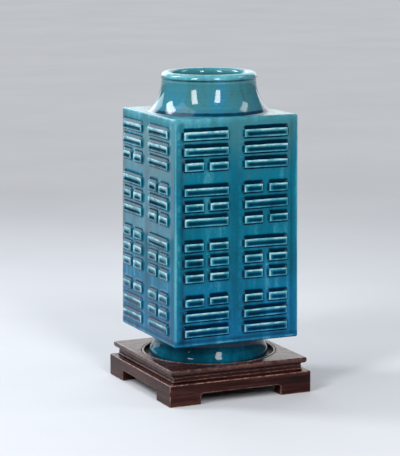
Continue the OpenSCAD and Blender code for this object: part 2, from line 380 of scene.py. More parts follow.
# The edge and turned middle of the board, as points: distance from middle, height, and rubbing, below zero
# painted shade.
board_edge = [
    (waist_face, board_foot, 0.0),
    *[(*p, 0.0) for p in arc((waist_face + cove_radius, nose_foot - cove_radius), cove_radius, 180, 90, 6)],
    *[(*p, 0.1) for p in arc((board_half - nose_low_radius, nose_foot + nose_low_radius),
                              nose_low_radius, -90, 0, 8)],
    *[(*p, 0.35) for p in arc((board_half - nose_top_radius, board_top - nose_top_radius),
                             nose_top_radius, 0, 90, 6)],
    (board_half - nose_top_radius - rubbed_width, board_top, 0.15),
    (board_half - nose_top_radius - rubbed_fade, board_top, 0.0),
]
board_plan = rounded_square(board_half, board_corner_radius, board_columns, board_corner_points)
groove_in = recess_radius + board_bead_width
groove_out = groove_in + board_groove_width
bead_middle = recess_radius + board_bead_width / 2
board_turning = [
    (groove_out + groove_lip, board_top, 0.0),
    (groove_out, board_top, 0.35),
    (groove_in + board_groove_width / 2, board_top - board_groove_width, 0.0),
    (groove_in, board_top, 0.2),
    (bead_middle + bead_shoulder_out, board_top + bead_shoulder_rise, 0.7),
    (bead_middle, board_bead_top, 1.0),
    (bead_middle - bead_shoulder_out, board_top + bead_shoulder_rise, 0.8),
    (recess_radius, board_top - recess_lip, 0.4),
    # From here down the wall and across the floor, the recess is painted dark as shade.
    (recess_radius, board_top - recess_shade_top, -0.5),
    (recess_radius, recess_floor + recess_corner, -0.9),
    (recess_radius - recess_corner, recess_floor, -0.9),
    (recess_radius * recess_shade_share, recess_floor, -0.6),
    (0.0, recess_floor, -0.3),
]
board_rings = [level(board_plan * 0, board_foot)]
board_wear_and_shade = [0.0]
for out, z, tone_mark in board_edge:
    ring = rounded_square(out, board_corner_radius, board_columns, board_corner_points)
    board_rings.append(level(ring, z))
    board_wear_and_shade.append(tone_mark)
for out, z, tone_mark in board_turning:
    board_rings.append(level(circle_facing(board_plan, out), z))
    board_wear_and_shade.append(tone_mark)
board_mesh = skin(board_rings, board_wear_and_shade, "wear_and_shade")
board_mesh.set_sharp_from_angle(angle=math.radians(board_sharp_angle))
board_wood = rosewood("rosewood_top_board", 0, (0.3, 0.1, 0.6), board_shine)
piece("stand_top_board", board_mesh, board_wood, "stand", "rosewood", "stand_top")


# Foot ring of the vase. A ring thrown on the wheel and luted under the base slab: a cove over a soft
# roll, with a gentler flare than its solid has, because the photo's highlights show one. The same
# turquoise-blue glaze covers it, and up under the body its colour is painted darker, as shade.

foot_low, foot_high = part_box("foot_ring")
foot_radius = foot_high.x
foot_roll_radius = 5.0 * MM
foot_bulge_radius = 9.0 * MM
foot_cove_radius = 21.0 * MM
foot_draw = 4.4 * MM
foot_waist_radius = foot_radius - foot_draw
foot_width = 12.8 * MM
foot_inner_radius = foot_radius - foot_width
foot_chamfer = 1.5 * MM
foot_fillet_radius = 2.5 * MM
foot_seat_width = 4.0 * MM
thrown_columns = 160
# The palest colour is bare glaze, whitened with painted glints.
GLAZE_BARE_AND_GLINT = (178, 212, 214)
GLAZE_THIN = (100, 172, 184)
GLAZE_FIELD = (6, 106, 130)
GLAZE_DEEP = (0, 60, 82)
GLAZE_POOL = (0, 27, 44)
GLAZE_MILKY = (100, 150, 140)
BLUE_TINT = (0.72, 0.93, 1.24, 1.0)
GLAZE_BY_DEPTH = [(0.0, GLAZE_BARE_AND_GLINT), (0.2, GLAZE_THIN), (0.45, GLAZE_FIELD), (0.72, GLAZE_DEEP),
                  (1.0, GLAZE_POOL)]
# How many times clouds, runs and throwing rings repeat in a metre, across and up, and how much each adds.
CLOUD_REPEATS = (24, 17)
RUN_REPEATS = (120, 9)
RING_REPEATS = (5, 620)
mottle_repeats = 420
ripple_repeats = 110
ripple_height = 0.4 * MM
cloud_strength = 0.42
run_strength = 0.36
mottle_strength = 0.14
milky_strength = 0.32
# Tints fade in over a height, drift up and down with clouds and runs, and need glaze of these depths.
tint_fade = 90 * MM
cloud_drift = 160 * MM
run_drift = 120 * MM
TINTED_DEPTHS = (0.25, 0.48)
POOLED_DEPTHS = (0.55, 0.75)
# Roughness of the gloss at its best and worst, and what dust adds to it.
GLOSS = (0.03, 0.09)
dust_roughness = 0.14
foot_shine = 0.22
foot_throwing = 0.12
foot_milky_height = 0.2
foot_blue_height = -0.04


def glaze(name, shine, throwing_lines, milky_height, blue_height, shape_depth=None):
    """Turquoise-blue glaze over clay: its colour follows its depth, which is how thick it lies and, in
    places, painted shade, with runs and clouds in it. It is milky above one height and bluer below another,
    and dulled by dust on upward faces. shape_depth may change the depth further."""
    material = bpy.data.materials.new(name)
    material.use_nodes = True
    tree = material.node_tree
    shader = tree.nodes["Principled BSDF"]
    place = put(tree, "ShaderNodeTexCoord").outputs["Object"]

    def stretched(across, up):
        scale = (across, across, up)
        return put(tree, "ShaderNodeMapping", {"Vector": place, "Scale": scale}).outputs[0]

    depth = put(tree, "ShaderNodeAttribute", attribute_name="glaze_depth_and_shade").outputs["Fac"]
    clouds = noise(tree, stretched(*CLOUD_REPEATS), 1.0, 4.0, 0.6)
    runs = noise(tree, stretched(*RUN_REPEATS), 1.0, 3.0, 0.55)
    rings = noise(tree, stretched(*RING_REPEATS), 1.0, 2.0, 0.5)
    mottle = noise(tree, place, mottle_repeats, 3.0, 0.6)
    for value, strength in ((clouds, cloud_strength), (runs, run_strength), (mottle, mottle_strength),
                            (rings, throwing_lines)):
        depth = calc(tree, "MULTIPLY_ADD", calc(tree, "SUBTRACT", value, 0.5), strength, depth)
    if shape_depth:
        depth = shape_depth(tree, place, depth)
    colour = colour_ramp(tree, depth, GLAZE_BY_DEPTH)
    height = put(tree, "ShaderNodeSeparateXYZ", {"Vector": place}).outputs["Z"]
    drift = calc(tree, "MULTIPLY_ADD", calc(tree, "SUBTRACT", clouds, 0.5), cloud_drift, height)
    drift = calc(tree, "MULTIPLY_ADD", calc(tree, "SUBTRACT", runs, 0.5), run_drift, drift)
    thick = smooth_step(tree, depth, *TINTED_DEPTHS)
    unpooled = smooth_step(tree, depth, *POOLED_DEPTHS, 1.0, 0.0)
    milky = smooth_step(tree, drift, milky_height - tint_fade, milky_height, 0.0, milky_strength)
    milky = calc(tree, "MULTIPLY", thick, calc(tree, "MULTIPLY", milky, unpooled))
    blue = smooth_step(tree, drift, blue_height, blue_height + tint_fade, 1.0, 0.0)
    blue = calc(tree, "MULTIPLY", thick, blue)
    colour = mix_colour(tree, milky, colour, linear(GLAZE_MILKY))
    colour = mix_colour(tree, blue, colour, BLUE_TINT, "MULTIPLY")
    tree.links.new(colour, shader.inputs["Base Color"])
    facing = put(tree, "ShaderNodeNewGeometry").outputs["Normal"]
    upward = put(tree, "ShaderNodeSeparateXYZ", {"Vector": facing}).outputs["Z"]
    dulled = smooth_step(tree, upward, 0.4, 0.95, 0.0, dust_roughness)
    gloss = calc(tree, "ADD", smooth_step(tree, mottle, 0.3, 0.75, *GLOSS), dulled)
    tree.links.new(gloss, shader.inputs["Roughness"])
    ripple = noise(tree, place, ripple_repeats, 2.0, 0.5)
    ripple = calc(tree, "MULTIPLY_ADD", rings, 6 * throwing_lines, ripple)
    bump = put(tree, "ShaderNodeBump", {"Height": ripple, "Strength": 0.05, "Distance": ripple_height})
    tree.links.new(bump.outputs[0], shader.inputs["Normal"])
    shader.inputs["IOR"].default_value = 1.5
    shader.inputs["Specular IOR Level"].default_value = shine
    return material


def thrown(profile, columns):
    """A closed ring turned from a section of (radius, height, depth of glaze and painted shade) points."""
    angles = np.arange(columns) / columns * 2 * math.pi
    round_plan = np.column_stack([np.cos(angles), np.sin(angles)])
    rings = [level(round_plan * radius, z) for radius, z, _ in profile]
    return skin(rings, [depth for _, _, depth in profile], "glaze_depth_and_shade", closed=True)


def shaded(points, start, end):
    """Gives a row of section points a depth, of glaze and in places painted shade, running evenly from start
    to end.
    """
    return [(r, z, d) for (r, z), d in zip(points, np.linspace(start, end, len(points)))]


roll_height = foot_low.z + foot_roll_radius
roll_centre = (foot_radius - foot_roll_radius, roll_height)
bulge_centre = (foot_radius - foot_bulge_radius, roll_height)
cove_span = foot_bulge_radius + foot_cove_radius
cove_angle = math.degrees(math.acos(1 - foot_draw / cove_span))
cove_rise = cove_span * math.sin(math.radians(cove_angle))
cove_centre = (foot_waist_radius + foot_cove_radius, roll_height + cove_rise)
fillet_centre = (foot_waist_radius + foot_fillet_radius, foot_high.z - foot_fillet_radius)
foot_section = [
    (foot_inner_radius, foot_low.z + foot_chamfer, 0.3),
    (foot_inner_radius + foot_chamfer, foot_low.z, 0.2),
    *shaded(arc(roll_centre, foot_roll_radius, -90, -9, 10), 0.4, 0.68),
    *shaded(arc(bulge_centre, foot_bulge_radius, 0, cove_angle, 10), 0.62, 0.6),
    # Up the cove and the fillet under the body, the glaze is painted darker as shade.
    *shaded(arc(cove_centre, foot_cove_radius, 180 + cove_angle, 180, 10)[1:], 0.58, 0.72),
    *shaded(arc(fillet_centre, foot_fillet_radius, 180, 90, 6), 0.78, 0.86),
    (foot_waist_radius - foot_seat_width, foot_high.z, 0.9),
    (foot_inner_radius, foot_high.z, 0.6),
]
foot_glaze = glaze("glaze_foot", foot_shine, foot_throwing, foot_milky_height, foot_blue_height)
foot_mesh = thrown(foot_section, thrown_columns)
piece("glazed_foot_ring", foot_mesh, foot_glaze, "vase", "glaze", "foot_ring")


# Body of the vase. Four clay slabs mitred into a box with a base and a shoulder slab, with the bars of
# the trigrams luted on as strips, all drawn together by the glaze. It is thin and pale on ridges and
# edges, the ridges also painted with highlights, and thick and dark where it has pooled above the bars
# and in their hollow fronts. Above and under the bars the dark is also painted shade.

body_half = -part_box("front_wall")[0].y
body_inner = -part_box("front_wall")[1].y
body_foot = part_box("base_slab")[0].z
body_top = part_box("shoulder_slab")[1].z
slab_thickness = body_half - body_inner
body_middle = (body_foot + body_top) / 2
body_edge_radius = 2.0 * MM
body_edge_steps = 5
mouth_hole_radius = 49.6 * MM
neck_seat_radius = 60.0 * MM
body_spread = 1.0 * MM
body_shine = 0.12
body_milky_height = 0.29
body_blue_height = 0.06
bar_front_height = 7.6 * MM
bar_front_length = 45.4 * MM
broken_front_gap = 6.6 * MM
bar_relief = 2.4 * MM
bar_slope = 1.2 * MM
bar_pitch = 14.69 * MM
trigram_pitch = 52.48 * MM
column_pitch = 62.2 * MM
bars_in_trigram = 3
trigrams_in_column = 4
COLUMN_SIDES = (-0.5, 0.5)
BARS_SHIFT = {"front": -1.4 * MM, "right": -4.0 * MM, "back": -4.0 * MM, "left": -4.0 * MM}
bars_drop = 1.0 * MM

# Trigrams from top to bottom of a column, each from its top bar down: 1 is whole, 0 is broken.
WIND, FIRE, EARTH, LAKE = (1, 1, 0), (1, 0, 1), (0, 0, 0), (0, 1, 1)
HEAVEN, WATER, MOUNTAIN, THUNDER = (1, 1, 1), (0, 1, 0), (1, 0, 0), (0, 0, 1)
LEFT_COLUMN = (WIND, FIRE, EARTH, LAKE)
RIGHT_COLUMN = (HEAVEN, WATER, MOUNTAIN, THUNDER)
FRONT_RIGHT_COLUMN = (HEAVEN, WATER, MOUNTAIN, LAKE)


def wall_out(z):
    """How far a wall stands from the middle: the hand-built box spreads a little towards its foot."""
    return body_half + body_spread * (body_top - z) / (body_top - body_foot)


def bar_rise(row, line):
    """Height of a bar above the wall's middle, by its trigram's row and its line, from the top down."""
    rows_up = (trigrams_in_column - 1) / 2 - row
    lines_up = (bars_in_trigram - 1) / 2 - line
    return rows_up * trigram_pitch + lines_up * bar_pitch - bars_drop


def trigram_bars(columns):
    """Place along the wall, height and length of every bar of two columns, from the wall's middle."""
    half_length = (bar_front_length - broken_front_gap) / 2
    half_place = (bar_front_length + broken_front_gap) / 4
    for column, trigrams in zip(COLUMN_SIDES, columns):
        for row, lines in enumerate(trigrams):
            for line, whole in enumerate(lines):
                x = column * column_pitch
                places = [(x, bar_front_length)] if whole else [
                    (x - half_place, half_length), (x + half_place, half_length)]
                for place, length in places:
                    yield place, bar_rise(row, line), length


bar_points, bar_lengths, bar_turns = [], [], []
for side, turn in SIDE_TURN.items():
    columns = (LEFT_COLUMN, FRONT_RIGHT_COLUMN if side == "front" else RIGHT_COLUMN)
    spin = Matrix.Rotation(math.radians(turn), 3, "Z")
    for x, z, length in trigram_bars(columns):
        z += body_middle
        bar_points.append(spin @ Vector((x + BARS_SHIFT[side], -wall_out(z), z)))
        bar_lengths.append(length)
        bar_turns.append(math.radians(turn))
bar_mesh = bpy.data.meshes.new("bar_places")
bar_mesh.from_pydata(bar_points, [], [])
bar_mesh.attributes.new("bar_length", "FLOAT", "POINT").data.foreach_set("value", bar_lengths)
bar_mesh.attributes.new("bar_turn", "FLOAT", "POINT").data.foreach_set("value", bar_turns)
bar_places = bpy.data.objects.new("bar_places", bar_mesh)
bpy.context.scene.collection.objects.link(bar_places)


# Where the skin has grid lines at an edge of a bar's front, in millimetres out from that edge.
ACROSS_STEPS = (-1.3, -0.5, 0, 0.4, 0.85, 1.35, 1.95, 2.8, 4.2)
UP_STEPS = (-2.9, -2.2, -1.3, -0.5, 0, 0.45, 1.0, 1.7, 2.6)
grid_widest = 4.0 * MM
grid_closest = 0.12 * MM


def grid_lines(edges, steps_out, limit):
    """Grid lines gathered at bar edges, given as (place, outward sign), with wide gaps filled evenly."""
    lines = {-limit, limit}
    for place, sign in edges:
        lines.update(place + sign * step * MM for step in steps_out)
    lines = sorted(x for x in lines if -limit <= x <= limit)
    kept = [lines[0]]
    for line in lines[1:]:
        if line - kept[-1] < grid_closest:
            continue
        steps = math.ceil((line - kept[-1]) / grid_widest)
        kept.extend(np.linspace(kept[-1], line, steps + 1)[1:].tolist())
    return np.array(kept)


flat_half = body_half - body_edge_radius
flat_rise = (body_top - body_foot) / 2 - body_edge_radius
body_columns, up_edges = [], []
for shift in BARS_SHIFT.values():
    across_edges = []
    for column in COLUMN_SIDES:
        x = column * column_pitch + shift
        across_edges += [(x - bar_front_length / 2, -1), (x + bar_front_length / 2, 1)]
        across_edges += [(x - broken_front_gap / 2, 1), (x + broken_front_gap / 2, -1)]
    body_columns.append(grid_lines(across_edges, ACROSS_STEPS, flat_half) / flat_half)
for row in range(trigrams_in_column):
    for line in range(bars_in_trigram):
        z = bar_rise(row, line)
        up_edges += [(z - bar_front_height / 2, -1), (z + bar_front_height / 2, 1)]
heights = body_middle + grid_lines(up_edges, UP_STEPS, flat_rise)


def body_ring(inset, corner_radius, z):
    """A ring round the body at a height, set in from its walls."""
    return level(rounded_square(wall_out(z) - inset, corner_radius, body_columns, body_edge_steps), z)


def within(distance, full, fade, strength):
    """Full strength up to a distance, then falling evenly to 0 over the fade."""
    return strength * np.clip(1 - (distance - full) / fade, 0, 1)


def near(distance, middle, reach, strength):
    """Full strength at one distance, falling evenly to 0 at a reach before and behind it."""
    return strength * np.clip(1 - abs(distance - middle) / reach, 0, 1)


# How thick the glaze lies on the plain parts of the body, before the bars change it.
underside_depth = 0.8
foot_seat_depth = 0.85
bottom_edge_depth = 0.36
bottom_edge_deepening = 0.4
wall_depth = 0.48
top_edge_depth = 0.38
shoulder_depth = 0.34
neck_seat_depth = 0.42
hole_depth = 0.5
inside_depth = 0.55
inside_floor_depth = 0.7
inside_corner_radius = 1.0 * MM
inside_rings = 6
# Bands on the walls where it lies thicker or thinner: a distance, how far the band fades, and its depth.
POOLED_OVER_FOOT = (4.5 * MM, 3.0 * MM, 0.2)
DRAWN_OFF_FOOT = (1.4 * MM, 0.8 * MM, -0.08)
DRAWN_OFF_TOP = (3.0 * MM, 7.0 * MM, -0.04)
DRAWN_OFF_CORNERS = (0.3 * MM, 1.5 * MM, -0.22)
GATHERED_BESIDE_BARS = (57.5 * MM, 3.5 * MM, 0.15)
channel_half = 5.0 * MM
channel_fade = 4.0 * MM
channel_depth = 0.02
belt_depth = 0.09
belt_reach = 90 * MM


def wall_glaze(ring, z):
    """Glaze depth on a ring of the walls: thin at the edges, thick in a band over the foot, and a little
    thicker in the channels between the columns of bars and beside them."""
    from_foot = z - body_foot
    from_top = body_top - z
    along = np.min(np.abs(ring[:, :2]), axis=1)
    half_way_up = np.clip(1 - ((z - body_middle) / belt_reach) ** 2, 0, 1)
    depth = wall_depth + near(from_foot, *POOLED_OVER_FOOT)
    depth += within(from_foot, *DRAWN_OFF_FOOT)
    depth += within(from_top, *DRAWN_OFF_TOP)
    depth = depth + within(body_half - along, *DRAWN_OFF_CORNERS)
    depth += within(along, channel_half, channel_fade, channel_depth + belt_depth * half_way_up)
    return depth + near(along, *GATHERED_BESIDE_BARS)


body_rings, body_depths = [], []


def lay(ring, depth):
    """Adds a ring to the body's skin, with its glaze depth."""
    body_rings.append(ring)
    body_depths.append(np.broadcast_to(depth, len(ring)))


body_plan = rounded_square(body_half, body_edge_radius, body_columns, body_edge_steps)
lay(level(body_plan * 0, body_foot), underside_depth)
lay(level(circle_facing(body_plan, foot_waist_radius), body_foot), foot_seat_depth)
for angle in np.linspace(90, 0, body_edge_steps + 1):
    inset = body_edge_radius * (1 - math.cos(math.radians(angle)))
    rise = body_edge_radius * (1 - math.sin(math.radians(angle)))
    depth = bottom_edge_depth + bottom_edge_deepening * angle / 90
    lay(body_ring(inset, body_edge_radius - inset, body_foot + rise), depth)
for z in heights[1:-1]:
    ring = body_ring(0.0, body_edge_radius, z)
    lay(ring, wall_glaze(ring, z))
for angle in np.linspace(0, 90, body_edge_steps + 1):
    inset = body_edge_radius * (1 - math.cos(math.radians(angle)))
    drop = body_edge_radius * (1 - math.sin(math.radians(angle)))
    lay(body_ring(inset, body_edge_radius - inset, body_top - drop), top_edge_depth)
for share in (0.15, 0.5):
    square = rounded_square(flat_half, 0.0, body_columns, body_edge_steps)
    between = square * (1 - share) + circle_facing(square, neck_seat_radius) * share
    lay(level(between, body_top), shoulder_depth)
lay(level(circle_facing(body_plan, neck_seat_radius), body_top), neck_seat_depth)
lay(level(circle_facing(body_plan, mouth_hole_radius), body_top), hole_depth)
lay(level(circle_facing(body_plan, mouth_hole_radius), body_top - slab_thickness), hole_depth)
for z in np.linspace(body_top - slab_thickness, body_foot + slab_thickness, inside_rings):
    lay(body_ring(slab_thickness, inside_corner_radius, z), inside_depth)
lay(level(body_plan * 0, body_foot + slab_thickness), inside_floor_depth)
body_skin = skin(body_rings, body_depths, "glaze_depth_and_shade")

# The bars stand out of the skin with rolled rims, dished fronts and a fillet of glaze round their feet.
rim_roll = 1.0 * MM
bar_hollow = 1.2 * MM
dish_rim = 0.5 * MM
dish_wall = 2.3 * MM
plain_fillet = 0.3 * MM
pool_fillet = 2.0 * MM
pool_height = 2.2 * MM
pool_trim = 2.0 * MM
pool_fade = 2.0 * MM
foot_line_height = 1.0 * MM
card_touch = 0.05 * MM
# How far a bar set by hand may lie out of place, out of level (degrees) and out of size (shares).
slip_along = 0.4 * MM
slip_up = 0.35 * MM
tilt_out = 0.5
length_out = 0.012
height_out = 0.05
hand_seed = 7
wall_swell = 0.5 * MM
swell_repeats = 26


def trigram_relief():
    """Node tree that raises the bars on the plain body and notes how far each point lies from them."""
    tree = bpy.data.node_groups.new("trigram_relief", "GeometryNodeTree")
    sockets = {"Body": "Geometry", "Bars": "Object", "Bar Height": "Float", "Relief": "Float",
               "Slope": "Float", "Hollow": "Float", "Pool": "Float", "Foot Line": "Float",
               "Uneven": "Float", "Seed": "Int", "Glaze": "Material"}
    for name, kind in sockets.items():
        tree.interface.new_socket(name, in_out="INPUT", socket_type=f"NodeSocket{kind}")
    tree.interface.new_socket("Body", in_out="OUTPUT", socket_type="NodeSocketGeometry")
    given = tree.nodes.new("NodeGroupInput").outputs
    position = put(tree, "GeometryNodeInputPosition").outputs[0]
    normal = put(tree, "GeometryNodeInputNormal").outputs[0]

    def stored(name):
        return put(tree, "GeometryNodeInputNamedAttribute", {"Name": name}, data_type="FLOAT").outputs[0]

    def store(geometry, name, value):
        inputs = {"Geometry": geometry, "Name": name, "Value": value}
        kept = put(tree, "GeometryNodeStoreNamedAttribute", inputs, data_type="FLOAT", domain="POINT")
        return kept.outputs[0]

    def vector(x, y, z):
        return put(tree, "ShaderNodeCombineXYZ", {0: x, 1: y, 2: z}).outputs[0]

    def uneven(draw, reach):
        """A random number for each bar, between -reach and reach."""
        inputs = {2: -reach, 3: reach, "Seed": calc(tree, "ADD", given["Seed"], float(draw))}
        return put(tree, "FunctionNodeRandomValue", inputs, data_type="FLOAT").outputs[1]

    # A card one metre square, which knows how far along and up it each of its corners lies.
    square = {"Size X": 1.0, "Size Y": 1.0, "Vertices X": 2, "Vertices Y": 2}
    card = put(tree, "GeometryNodeMeshGrid", square).outputs["Mesh"]
    corner = put(tree, "ShaderNodeSeparateXYZ", {0: position}).outputs
    card = store(store(card, "along_bar", corner["X"]), "up_bar", corner["Y"])

    # Each bar was set by hand, a little out of place, out of level and out of size.
    bars = put(tree, "GeometryNodeObjectInfo", {"Object": given["Bars"]}).outputs["Geometry"]
    slip = {"Vector": vector(uneven(1, slip_along), 0.0, uneven(2, slip_up)), "Angle": stored("bar_turn")}
    slip = put(tree, "ShaderNodeVectorRotate", slip, rotation_type="Z_AXIS").outputs[0]
    turn = vector(math.radians(90), uneven(3, math.radians(tilt_out)), stored("bar_turn"))
    turn = put(tree, "FunctionNodeEulerToRotation", {0: turn}).outputs[0]
    length = calc(tree, "MULTIPLY", stored("bar_length"), calc(tree, "ADD", uneven(4, length_out), 1.0))
    swelling = calc(tree, "ADD", uneven(5, height_out), 1.0)

    def cards(rise, height, trim=0.0):
        """A card of any height for each bar, as long as the bar less a trim, raised above its middle."""
        place = put(tree, "ShaderNodeVectorMath", {0: slip, 1: vector(0.0, 0.0, rise)}).outputs[0]
        points = put(tree, "GeometryNodeSetPosition", {"Geometry": bars, "Offset": place}).outputs[0]
        size = vector(calc(tree, "SUBTRACT", length, trim), height, 1.0)
        laid = {"Points": points, "Instance": card, "Rotation": turn, "Scale": size}
        laid = put(tree, "GeometryNodeInstanceOnPoints", laid).outputs[0]
        return put(tree, "GeometryNodeRealizeInstances", {"Geometry": laid}).outputs[0]

    def distance(target, element):
        return put(tree, "GeometryNodeProximity", {0: target}, target_element=element).outputs["Distance"]

    def nearest(target, name):
        inputs = {"Mesh": target, "Value": stored(name), "Sample Position": position}
        return put(tree, "GeometryNodeSampleNearestSurface", inputs, data_type="FLOAT").outputs["Value"]

    def half_way(first, second):
        return calc(tree, "MULTIPLY", calc(tree, "ADD", first, second), 0.5)

    # Distance from the rim of the nearest bar's front: below zero on the front, above zero outside it.
    fronts = cards(0.0, calc(tree, "MULTIPLY", given["Bar Height"], swelling))
    off_front = distance(fronts, "FACES")
    on_front = calc(tree, "LESS_THAN", off_front, card_touch)
    depth_in = calc(tree, "MULTIPLY", on_front, distance(fronts, "EDGES"))
    off_rim = calc(tree, "SUBTRACT", off_front, depth_in)
    along = nearest(fronts, "along_bar")
    up_bar = nearest(fronts, "up_bar")
    bar_length = nearest(fronts, "bar_length")
    pools = cards(half_way(given["Bar Height"], given["Pool"]), given["Pool"], pool_trim)
    under_bar = calc(tree, "MULTIPLY", half_way(given["Bar Height"], given["Foot Line"]), -1.0)
    lines = cards(under_bar, given["Foot Line"])
    off_pool = distance(pools, "FACES")
    measures = {
        "off_rim": off_rim,
        "up_bar": up_bar,
        "from_left": calc(tree, "MULTIPLY", calc(tree, "ADD", along, 0.5), bar_length),
        "from_right": calc(tree, "MULTIPLY", calc(tree, "SUBTRACT", 0.5, along), bar_length),
        "off_pool": off_pool,
        "off_foot_line": distance(lines, "FACES"),
    }

    # The slope round a bar ends in a fillet of glaze, which is widest in the pool above the bar.
    fillet = smooth_step(tree, off_pool, 0.0, pool_fade, pool_fillet, plain_fillet)
    slope_end = calc(tree, "ADD", given["Slope"], fillet)
    raised = smooth_step(tree, off_rim, -rim_roll, slope_end, 1.0, 0.0)
    # The front is scooped out. Glaze that ran down fills the scoop, so it is deepest under the top rim.
    share_up = calc(tree, "ADD", up_bar, 0.5)
    unfilled = calc(tree, "MULTIPLY", share_up, calc(tree, "SUBTRACT", 2.0, share_up))
    hollow = smooth_step(tree, depth_in, dish_rim, dish_rim + dish_wall)
    hollow = calc(tree, "MULTIPLY", hollow, unfilled)
    lift = calc(tree, "SUBTRACT", calc(tree, "MULTIPLY", raised, given["Relief"]),
                calc(tree, "MULTIPLY", hollow, given["Hollow"]))
    swell = {"Vector": position, "Scale": float(swell_repeats), "Detail": 1.0}
    swell = put(tree, "ShaderNodeTexNoise", swell).outputs[0]
    lift = calc(tree, "MULTIPLY_ADD", calc(tree, "SUBTRACT", swell, 0.5), given["Uneven"], lift)

    body = given["Body"]
    for name, value in measures.items():
        body = store(body, name, value)
    offset = put(tree, "ShaderNodeVectorMath", {0: normal, "Scale": lift}, operation="SCALE").outputs[0]
    body = put(tree, "GeometryNodeSetPosition", {"Geometry": body, "Offset": offset}).outputs[0]
    body = put(tree, "GeometryNodeRealizeInstances", {"Geometry": body}).outputs[0]
    body = put(tree, "GeometryNodeSetMaterial", {"Geometry": body, "Material": given["Glaze"]}).outputs[0]
    tree.links.new(body, tree.nodes.new("NodeGroupOutput").inputs[0])
    return tree


def grown(name, mesh, tree, settings):
    """The plain mesh that a node tree makes of a mesh, with the tree's inputs set by name."""
    source = bpy.data.objects.new(name, mesh)
    bpy.context.scene.collection.objects.link(source)
    modifier = source.modifiers.new(name, "NODES")
    modifier.node_group = tree
    for item in tree.interface.items_tree:
        if item.in_out == "INPUT" and item.name in settings:
            modifier[item.identifier] = settings[item.name]
    graph = bpy.context.evaluated_depsgraph_get()
    made = bpy.data.meshes.new_from_object(source.evaluated_get(graph), preserve_all_data_layers=True,
                                           depsgraph=graph)
    bpy.data.objects.remove(source)
    return made


# Where the glaze is bare, thin and thick on a bar's front, by the distance in millimetres from each edge of
# the front: bare and thin up to the first distance and no more at the second, thick from the second on.
# The third number is the share of the effect at that edge.
# The pale bare and thin glaze is also painted highlight: glints on the rims, broader at the top and left
# edges.
CREST = {"top": (1.0, 2.6, 1.0), "foot": (0.4, 1.2, 0.7), "left": (0.5, 1.7, 0.9), "right": (0.4, 1.2, 0.95)}
FLANK = {"top": (0.5, 4.2, 1.0), "foot": (0.4, 2.0, 0.5), "left": (0.5, 5.0, 0.9), "right": (0.4, 2.6, 0.5)}
HOLLOW = {"top": (1.5, 4.8), "foot": (0.8, 2.6), "left": (1.0, 6.0), "right": (0.8, 4.0)}
crest_thinning_and_glint = 0.24
flank_thinning_and_highlight = 0.16
hollow_thickening = 0.42
# The same for the dark outside the front: above the bar, under it and at its two ends.
# Above the bar and at its ends it is pooled glaze and painted shade; the line under the bar is painted
# shade.
POOL_AND_SHADE = (0.0, 2.2, 0.58)
FOOT_SHADE_LINE = (0.0, 0.9, 0.5)
LEFT_END = (1.2, 2.6, 0.45)
RIGHT_END = (0.9, 1.8, 0.45)
drawn_at_left = 0.1
# Lines in the glaze waver by a few noises, given as repeats in a metre and reach.
WAVERS = ((55, 1.0 * MM), (160, 0.6 * MM), (700, 0.3 * MM))
patch_repeats = 110
# The bars of the left side carry painted reflection: paler tops, by this much higher, and weaker pools.
left_sheen_out = -58 * MM
left_sheen_fade = 4 * MM
left_sheen_crest = 0.95
left_sheen_pool = 0.4


